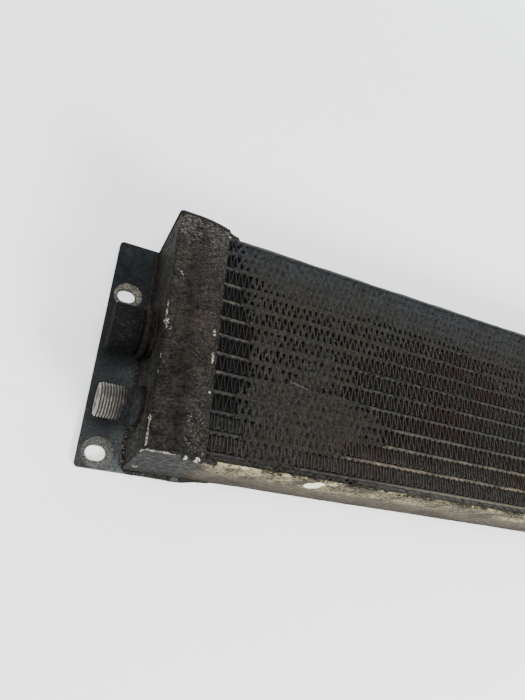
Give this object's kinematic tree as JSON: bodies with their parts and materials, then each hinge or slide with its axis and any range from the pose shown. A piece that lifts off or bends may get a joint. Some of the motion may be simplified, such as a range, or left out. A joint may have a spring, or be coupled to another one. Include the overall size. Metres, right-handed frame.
{
  "type": "hydraulic oil cooler",
  "caption": "Hydraulic oil cooler: flat tubes and folded fins between two welded tanks with slotted mounting flanges, a threaded oil stub and a capped main port.",
  "frame": {"origin": "middle of the base of the whole cooler, on the underside plane of the mounting plates", "axes": "+X along the tubes towards the tank with no ports, +Y along the tanks from the threaded stub towards the capped port, +Z through the core from the mounting plates to the open fin face"},
  "size_m": [0.6176, 0.1768, 0.064],
  "materials": {
    "tank_paint": "aged satin black paint over steel, browned, chipped along the edges",
    "plate_paint": "aged blue-black satin paint, worn bright round the bolt slots",
    "side_metal": "bare worn steel with tan dirt and streaks along its length",
    "tube_metal": "bare steel, tan with dust",
    "fin_paint": "thin black-coated sheet, dusty",
    "inner_steel": "plain oiled steel",
    "bare_thread": "machined bright steel, fading into paint at the root",
    "port_paint": "painted steel, rusty brown on the flange's rim",
    "cap_rubber": "matt black moulded rubber with fine speckle"
  },
  "bodies": {
    "root": {"tank_cover_left": "tank_paint", "tank_end_near_left": "tank_paint", "tank_end_far_left": "tank_paint", "header_plate_left": "inner_steel", "mounting_plate_left": "plate_paint", "tank_cover_right": "tank_paint", "tank_end_near_right": "tank_paint", "tank_end_far_right": "tank_paint", "header_plate_right": "inner_steel", "mounting_plate_right": "plate_paint", "pass_divider": "inner_steel", "threaded_stub": "bare_thread", "main_port": "port_paint", "blanking_cap": "cap_rubber", "side_plate_near": "side_metal", "side_plate_far": "side_metal", "tube_01": "tube_metal", "turbulator_01": "inner_steel", "tube_02": "tube_metal", "turbulator_02": "inner_steel", "tube_03": "tube_metal", "turbulator_03": "inner_steel", "tube_04": "tube_metal", "turbulator_04": "inner_steel", "tube_05": "tube_metal", "turbulator_05": "inner_steel", "tube_06": "tube_metal", "turbulator_06": "inner_steel", "tube_07": "tube_metal", "turbulator_07": "inner_steel", "tube_08": "tube_metal", "turbulator_08": "inner_steel", "tube_09": "tube_metal", "turbulator_09": "inner_steel", "tube_10": "tube_metal", "turbulator_10": "inner_steel", "tube_11": "tube_metal", "turbulator_11": "inner_steel", "tube_12": "tube_metal", "turbulator_12": "inner_steel", "edge_fin_near": "fin_paint", "fin_01": "fin_paint", "fin_02": "fin_paint", "fin_03": "fin_paint", "fin_04": "fin_paint", "fin_05": "fin_paint", "fin_06": "fin_paint", "fin_07": "fin_paint", "fin_08": "fin_paint", "fin_09": "fin_paint", "fin_10": "fin_paint", "fin_11": "fin_paint", "edge_fin_far": "fin_paint"}
  },
  "joints": []
}
